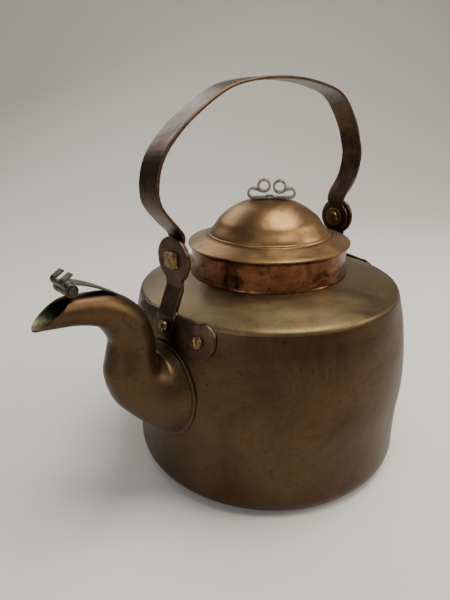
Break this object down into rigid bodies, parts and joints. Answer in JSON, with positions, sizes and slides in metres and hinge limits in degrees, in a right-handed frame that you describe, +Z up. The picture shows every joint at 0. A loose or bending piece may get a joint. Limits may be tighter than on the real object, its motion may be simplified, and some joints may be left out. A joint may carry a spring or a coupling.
{
  "type": "stovetop kettle",
  "caption": "Round sheet-copper stovetop kettle with a swing bail handle, a domed lift-off lid with a scroll knob and a gooseneck spout with a hinged flap.",
  "frame": {"origin": "centre of the flat base, on the surface that the kettle stands on", "axes": "+Z up, the spout points along -X, the handle's pivots lie along X"},
  "size_m": [0.3188, 0.2332, 0.3049],
  "materials": {
    "body_copper": "patinated sheet copper",
    "neck_copper": "polished red copper",
    "dark_copper": "dark green-brown copper",
    "ear_bronze": "dark forged bronze",
    "knob_steel": "worn grey steel strip"
  },
  "bodies": {
    "kettle": {"body_wall": "body_copper", "base_plate": "body_copper", "shoulder_plate": "body_copper", "neck_collar": "neck_copper", "spout_bulb": "body_copper", "spout_beak": "body_copper", "flap_hinge_strap": "dark_copper", "flap_hinge_pin": "dark_copper", "front_ear": "ear_bronze", "rear_ear": "ear_bronze", "front_ear_rivets": "ear_bronze", "rear_ear_rivets": "ear_bronze", "front_pivot_rivet": "ear_bronze", "rear_pivot_rivet": "ear_bronze", "front_pivot_washer": "ear_bronze", "rear_pivot_washer": "ear_bronze"},
    "handle": {"handle_strap": "ear_bronze"},
    "lid": {"lid_dome": "body_copper", "lid_skirt": "neck_copper", "knob_scroll": "knob_steel", "knob_rivet": "knob_steel"},
    "spout_flap": {"spout_flap": "dark_copper"}
  },
  "joints": [
    {"name": "handle_swing", "type": "hinge", "parent": "kettle", "child": "handle", "pos_m": [0, 0, 0.187], "axis": [1, 0, 0], "range_deg": [-105, 105]},
    {"name": "lid_lift", "type": "slide", "parent": "kettle", "child": "lid", "axis": [0, 0, 1], "range_m": [0, 0.045]},
    {"name": "flap_hinge", "type": "hinge", "parent": "kettle", "child": "spout_flap", "pos_m": [-0.1781, 0, 0.1874], "axis": [0, -1, 0], "range_deg": [-58, 108]}
  ]
}
